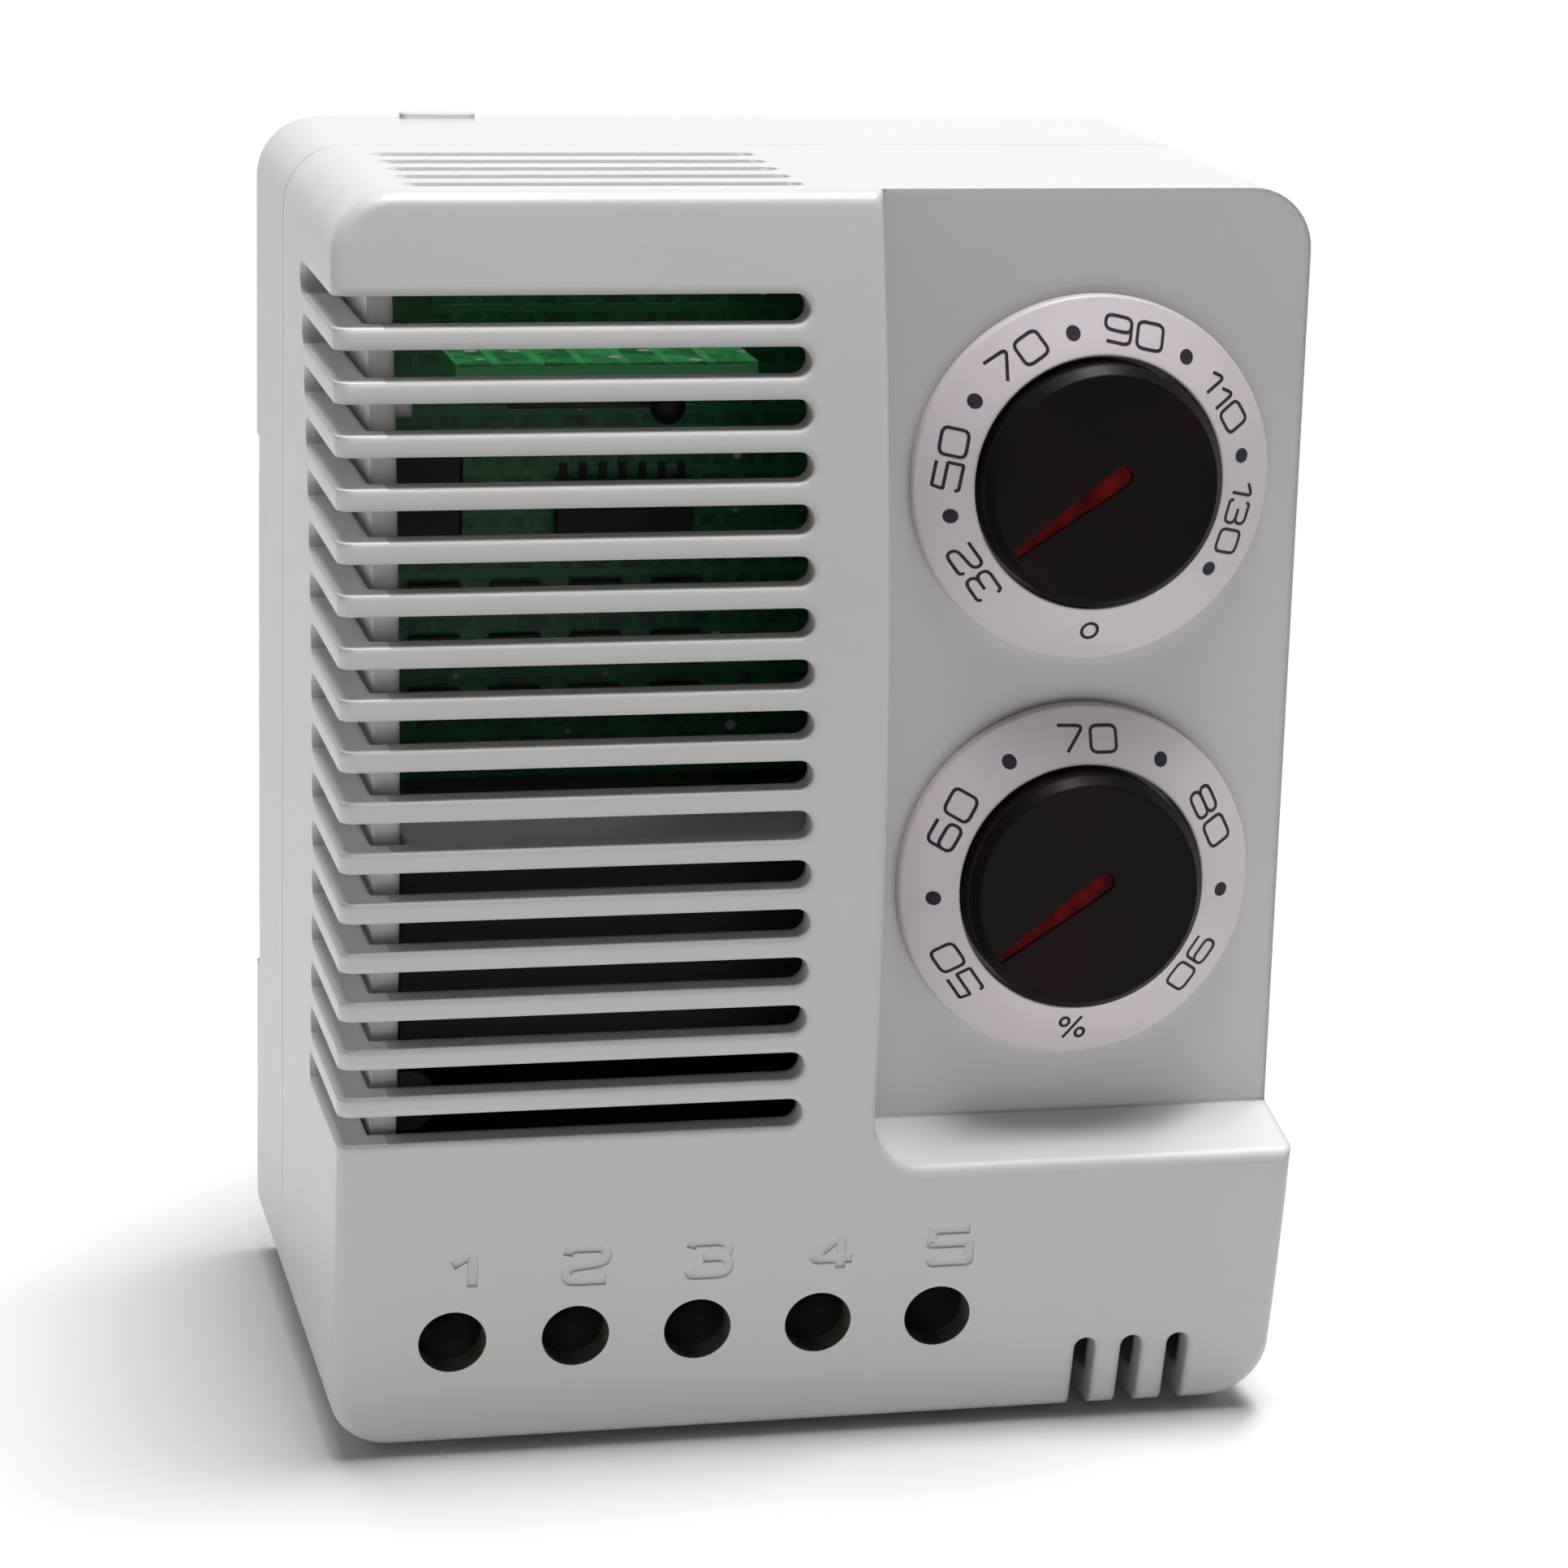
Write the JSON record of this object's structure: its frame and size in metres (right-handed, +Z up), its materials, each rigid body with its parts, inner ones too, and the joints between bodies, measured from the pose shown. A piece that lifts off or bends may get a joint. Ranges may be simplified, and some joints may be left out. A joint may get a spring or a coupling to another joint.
{
  "type": "rail-mounted temperature and humidity controller",
  "caption": "Rail-mounted controller in a vented plastic housing, with a temperature dial, a humidity dial and screw terminals behind holes in the front.",
  "frame": {"origin": "centre of the face that rests on the mounting rail's lips, level with the middle of the rail", "axes": "+X right seen from the front, +Y out of the rear face towards the rail, +Z up along the housing's height"},
  "size_m": [0.06, 0.0461, 0.0773],
  "materials": {
    "housing": "fine matt light grey thermoplastic",
    "dial": "satin, slightly warm light grey",
    "knob": "very dark red translucent, satin face",
    "pointer": "red",
    "pot_case": "dark blue",
    "pot_shaft": "off-white",
    "tinned_metal": "tinned, satin",
    "lamp": "tinted clear",
    "board": "green laminate with solder mask",
    "header": "black",
    "sensor": "dark grey moulded",
    "black_part": "black moulded",
    "block": "dark grey",
    "brass": "plain",
    "bobbin": "off-white",
    "copper": "enamelled wire",
    "steel": "zinc plated",
    "zinc": "zinc plated",
    "film": "dark grey moulded",
    "can": "sleeved",
    "varistor": "blue coated",
    "ceramic": "tan coated",
    "latch": "dark grey"
  },
  "bodies": {
    "housing": {"front_cover": "housing", "rear_base": "housing", "temperature_dial": "dial", "humidity_dial": "dial", "temperature_pot_body": "pot_case", "humidity_pot_body": "pot_case", "pot_pins": "tinned_metal", "temperature_led": "lamp", "humidity_led": "lamp", "main_board": "board", "sensor_board": "board", "sensor_header": "header", "humidity_sensor": "sensor", "temperature_sensor": "black_part", "terminal_block": "block", "terminal_contacts": "brass", "relay_base": "black_part", "relay_case": "black_part", "relay_bobbin": "bobbin", "relay_winding": "copper", "relay_core": "steel", "relay_yoke": "steel", "relay_fixed_contacts": "brass", "relay_pins": "tinned_metal", "film_capacitor": "film", "filter_capacitor": "can", "varistor": "varistor", "rectifier": "black_part", "controller_chip": "black_part", "small_resistors": "black_part", "dropper_resistor": "ceramic", "board_screws": "steel", "latch_spring": "steel"},
    "temperature_control": {"temperature_knob": "knob", "temperature_pointer": "pointer", "temperature_pot_shaft": "pot_shaft"},
    "humidity_control": {"humidity_knob": "knob", "humidity_pointer": "pointer", "humidity_pot_shaft": "pot_shaft"},
    "armature": {"relay_armature": "steel", "relay_contact_blade": "brass"},
    "latch": {"din_latch": "latch"},
    "screw_1": {"terminal_screw_1": "steel"},
    "cage_1": {"terminal_cage_1": "zinc"},
    "screw_2": {"terminal_screw_2": "steel"},
    "cage_2": {"terminal_cage_2": "zinc"},
    "screw_3": {"terminal_screw_3": "steel"},
    "cage_3": {"terminal_cage_3": "zinc"},
    "screw_4": {"terminal_screw_4": "steel"},
    "cage_4": {"terminal_cage_4": "zinc"},
    "screw_5": {"terminal_screw_5": "steel"},
    "cage_5": {"terminal_cage_5": "zinc"}
  },
  "joints": [
    {"name": "temperature_turn", "type": "hinge", "parent": "housing", "child": "temperature_control", "pos_m": [0.0165, -0.0345, 0.021], "axis": [0, 1, 0], "range_deg": [0, 255]},
    {"name": "humidity_turn", "type": "hinge", "parent": "housing", "child": "humidity_control", "pos_m": [0.0165, -0.0345, -0.0043], "axis": [0, 1, 0], "range_deg": [0, 255]},
    {"name": "armature_pivot", "type": "hinge", "parent": "housing", "child": "armature", "pos_m": [-0.01109, -0.02714, -0.00799], "axis": [0, 0, -1], "range_deg": [0, 2.9], "stiffness_Nm_per_rad": 0.02, "springref_deg": -5.73},
    {"name": "latch_slide", "type": "slide", "parent": "housing", "child": "latch", "axis": [0, 0, -1], "range_m": [0, 0.003], "stiffness_N_per_m": 600, "springref_m": -0.002, "deforming": ["latch_spring"]},
    {"name": "cage_1_lift", "type": "slide", "parent": "housing", "child": "cage_1", "axis": [0, -1, 0], "range_m": [0, 0.002]},
    {"name": "screw_1_turn", "type": "hinge", "parent": "housing", "child": "screw_1", "pos_m": [-0.0227, -0.023, -0.0312], "axis": [0, 1, 0], "range_deg": [0, 1445]},
    {"name": "cage_2_lift", "type": "slide", "parent": "housing", "child": "cage_2", "axis": [0, -1, 0], "range_m": [0, 0.002]},
    {"name": "screw_2_turn", "type": "hinge", "parent": "housing", "child": "screw_2", "pos_m": [-0.01508, -0.023, -0.0312], "axis": [0, 1, 0], "range_deg": [0, 1445]},
    {"name": "cage_3_lift", "type": "slide", "parent": "housing", "child": "cage_3", "axis": [0, -1, 0], "range_m": [0, 0.002]},
    {"name": "screw_3_turn", "type": "hinge", "parent": "housing", "child": "screw_3", "pos_m": [-0.00746, -0.023, -0.0312], "axis": [0, 1, 0], "range_deg": [0, 1445]},
    {"name": "cage_4_lift", "type": "slide", "parent": "housing", "child": "cage_4", "axis": [0, -1, 0], "range_m": [0, 0.002]},
    {"name": "screw_4_turn", "type": "hinge", "parent": "housing", "child": "screw_4", "pos_m": [0.00016, -0.023, -0.0312], "axis": [0, 1, 0], "range_deg": [0, 1445]},
    {"name": "cage_5_lift", "type": "slide", "parent": "housing", "child": "cage_5", "axis": [0, -1, 0], "range_m": [0, 0.002]},
    {"name": "screw_5_turn", "type": "hinge", "parent": "housing", "child": "screw_5", "pos_m": [0.00778, -0.023, -0.0312], "axis": [0, 1, 0], "range_deg": [0, 1445]}
  ],
  "couplings": [
    {"joint": "screw_1_turn", "follows": "cage_1_lift", "rad_per_m": 12566},
    {"joint": "screw_2_turn", "follows": "cage_2_lift", "rad_per_m": 12566},
    {"joint": "screw_3_turn", "follows": "cage_3_lift", "rad_per_m": 12566},
    {"joint": "screw_4_turn", "follows": "cage_4_lift", "rad_per_m": 12566},
    {"joint": "screw_5_turn", "follows": "cage_5_lift", "rad_per_m": 12566}
  ]
}
